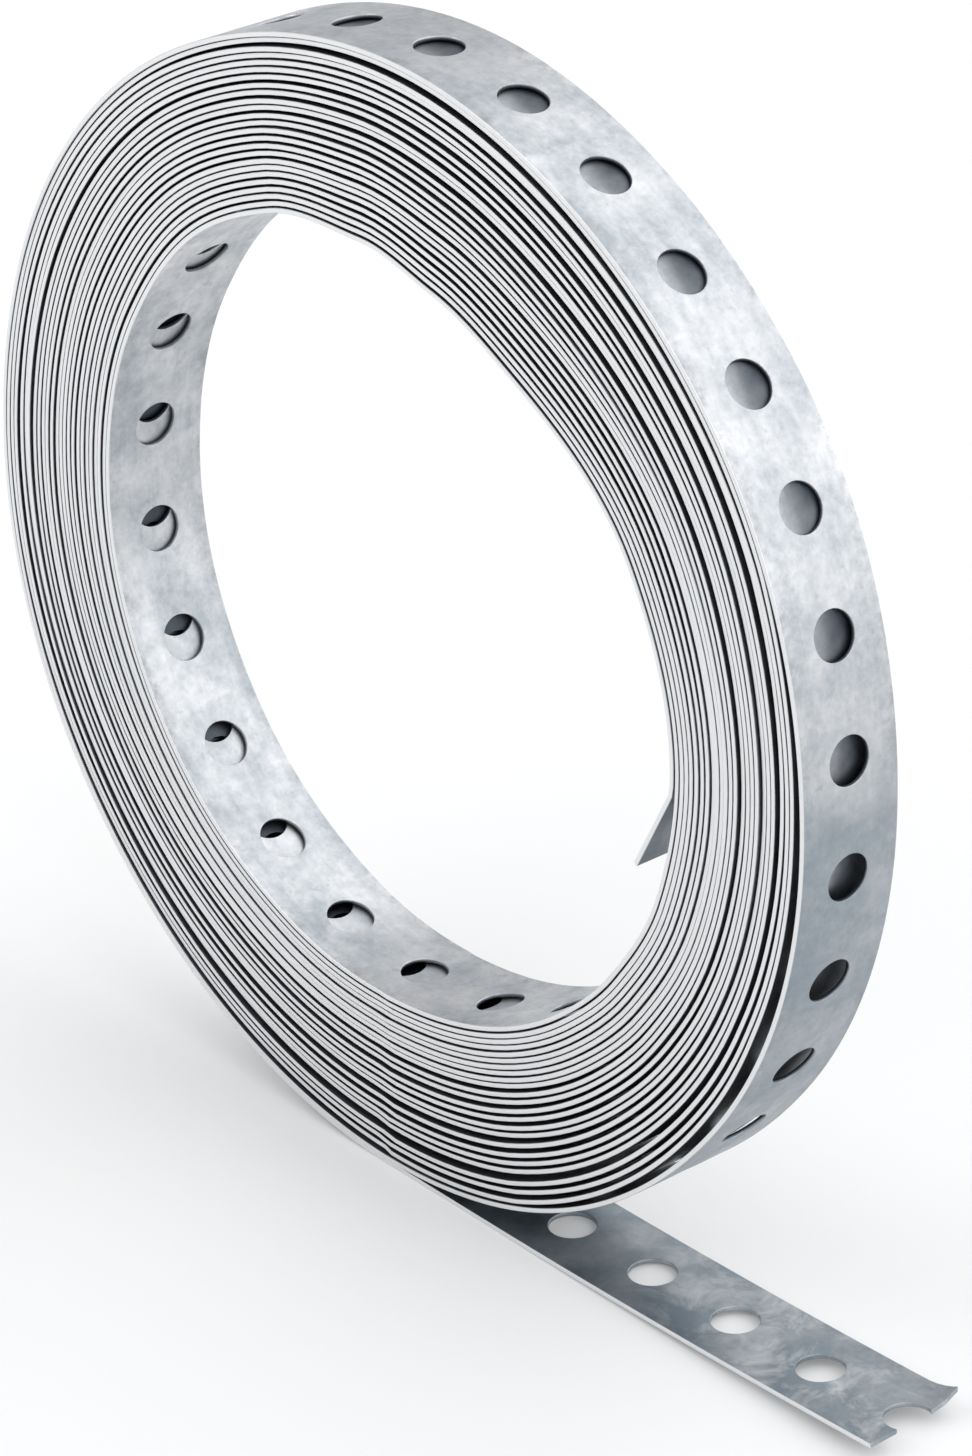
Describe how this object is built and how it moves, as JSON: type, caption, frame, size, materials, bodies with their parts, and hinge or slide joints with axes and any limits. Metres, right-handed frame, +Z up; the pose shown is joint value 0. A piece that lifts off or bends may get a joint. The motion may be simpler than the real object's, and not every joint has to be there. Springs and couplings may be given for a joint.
{
  "type": "perforated steel strap",
  "caption": "Coil of galvanised perforated steel strap standing on its rim, with a flat free tail, a slack outer wrap and an inner end bent into the bore; fixes pipes and frames.",
  "frame": {"origin": "on the underside of the tail, straight below the coil's axis and in the middle of the strap's width, on the floor that the coil stands on", "axes": "+X along the flat tail towards its cut end, +Y along the coil's axis, +Z up"},
  "size_m": [0.1865, 0.017, 0.171],
  "materials": {
    "galvanised_steel": "hot-dip galvanised, satin with a soft mottled spangle"
  },
  "bodies": {
    "root": {"strap": "galvanised_steel"}
  },
  "joints": []
}
